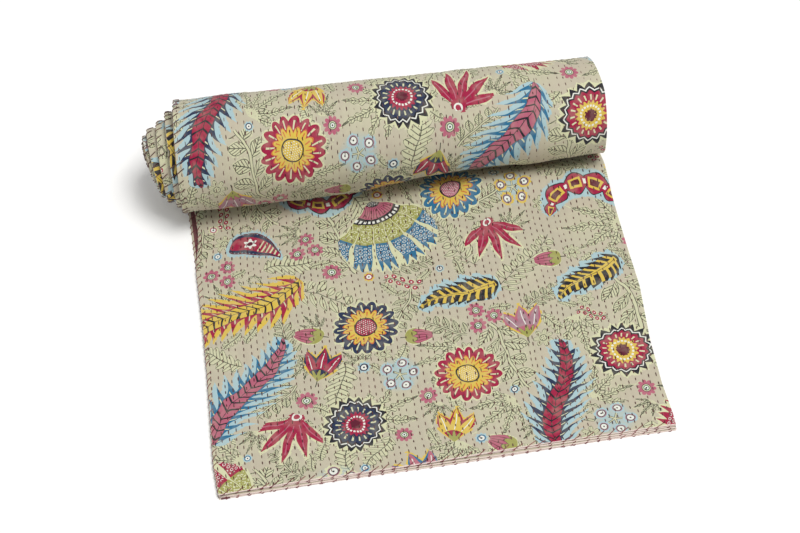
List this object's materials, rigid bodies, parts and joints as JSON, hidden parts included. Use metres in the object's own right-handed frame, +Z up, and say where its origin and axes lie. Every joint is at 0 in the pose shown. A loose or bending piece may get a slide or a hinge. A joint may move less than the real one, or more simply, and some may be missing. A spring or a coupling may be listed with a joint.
{
  "type": "kantha quilt, rolled",
  "caption": "Quilted cotton bedspread folded lengthwise into a flat strip and rolled up, with a loose end lying out in front of the roll.",
  "frame": {"origin": "under the middle of the whole, on the surface that it lies on", "axes": "+X along the roll, towards its plain folded end; -Y towards the loose end's front edge; +Z up"},
  "size_m": [0.6184, 0.5752, 0.1563],
  "materials": {
    "printed_cotton": "matte printed cotton, quilted with rows of running stitch"
  },
  "bodies": {
    "root": {"quilt": "printed_cotton"}
  },
  "joints": []
}
